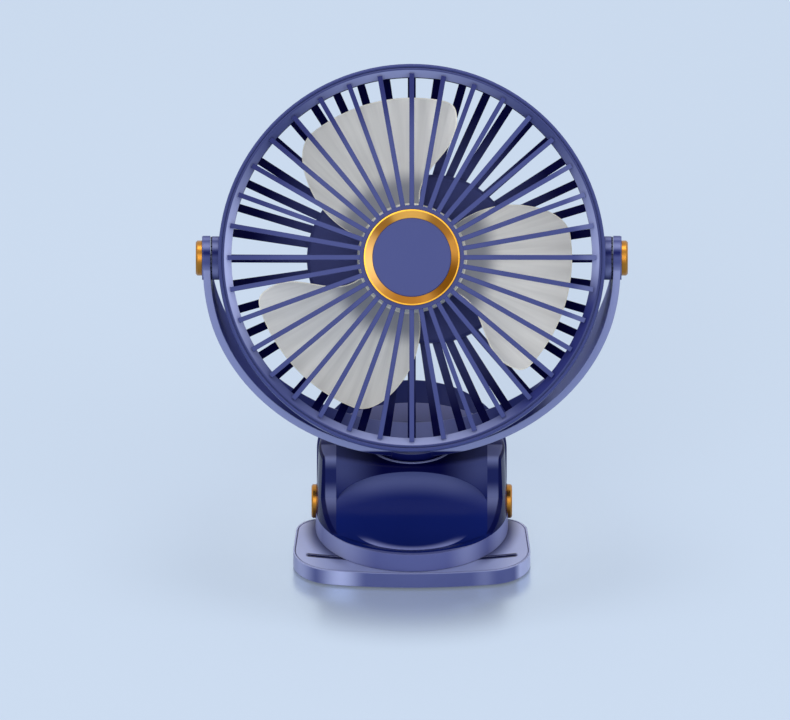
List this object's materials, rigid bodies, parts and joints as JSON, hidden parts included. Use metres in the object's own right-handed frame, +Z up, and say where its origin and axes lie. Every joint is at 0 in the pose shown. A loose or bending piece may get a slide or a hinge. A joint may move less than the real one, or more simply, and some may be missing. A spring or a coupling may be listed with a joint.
{
  "type": "clip-on camping fan",
  "caption": "Portable fan: round cage with a front and a rear grille, tilting in a half-round yoke that swivels on a sprung clip whose lower jaw is the stand.",
  "frame": {"origin": "on the table under the yoke's swivel axis, at the underside of the foot's anti-slip pad", "axes": "+X to the right seen from the front, +Y rearwards, +Z up; at rest the head looks along -Y and 28.5 degrees up"},
  "size_m": [0.1784, 0.1127, 0.2101],
  "materials": {
    "shell_plastic": "lavender blue, satin gloss moulded plastic",
    "body_plastic": "deep blue glossy moulded plastic",
    "foot_plastic": "lavender blue, satin gloss moulded plastic",
    "blade_plastic": "light grey translucent looking plastic",
    "dark_plastic": "dark blue fine textured plastic",
    "gold_trim": "gold anodised, polished",
    "screw_steel": "zinc plated",
    "spring_steel": "oiled spring wire",
    "insert_brass": "knurled brass",
    "cell_wrap": "heat shrink sleeve over the cell's can",
    "board": "green solder mask",
    "lens": "clear light guides",
    "pad_rubber": "matt rubber"
  },
  "bodies": {
    "foot": {"foot_tray": "foot_plastic", "foot_panel": "foot_plastic", "lower_jaw_pad": "foot_plastic", "base_pad": "pad_rubber", "hinge_pin": "screw_steel", "torsion_springs": "spring_steel"},
    "clip_body": {"clip_shell": "body_plastic", "shell_cover": "dark_plastic", "cover_screws": "screw_steel", "upper_jaw_pad": "pad_rubber", "swivel_bush": "dark_plastic", "hinge_caps": "gold_trim"},
    "yoke": {"yoke_arm": "shell_plastic", "pivot_screws": "screw_steel", "pivot_caps": "gold_trim", "swivel_washer": "screw_steel", "swivel_screw": "screw_steel"},
    "head": {"rear_grille": "shell_plastic", "front_grille": "shell_plastic", "hub_trim_ring": "gold_trim", "hub_disc": "shell_plastic", "rear_cover": "shell_plastic", "rear_cover_screws": "screw_steel", "motor_can": "screw_steel", "motor_screws": "screw_steel", "battery_cell": "cell_wrap", "control_board": "board", "charging_port": "screw_steel", "indicator_lenses": "lens", "boss_inserts": "insert_brass", "detent_rings": "dark_plastic"},
    "impeller": {"impeller": "blade_plastic", "motor_shaft": "screw_steel"},
    "button": {"power_button": "dark_plastic"}
  },
  "joints": [
    {"name": "clip_open", "type": "hinge", "parent": "foot", "child": "clip_body", "pos_m": [0, 0.0049, 0.0171], "axis": [-1, 0, 0], "range_deg": [0, 20], "stiffness_Nm_per_rad": 0.8, "springref_deg": -25.78},
    {"name": "yoke_swivel", "type": "hinge", "parent": "clip_body", "child": "yoke", "pos_m": [0, 0, 0.0464], "axis": [0, 0, 1], "range_deg": [-180, 180]},
    {"name": "head_tilt", "type": "hinge", "parent": "yoke", "child": "head", "pos_m": [0, 0, 0.133], "axis": [-1, 0, 0], "range_deg": [-180, 180]},
    {"name": "impeller_spin", "type": "hinge", "parent": "head", "child": "impeller", "pos_m": [0, 0, 0.133], "axis": [0, -0.8788, 0.4772], "continuous": true},
    {"name": "button_press", "type": "slide", "parent": "head", "child": "button", "axis": [0, -0.8788, 0.4772], "range_m": [0, 0.0008], "stiffness_N_per_m": 1500, "springref_m": -0.0008}
  ]
}
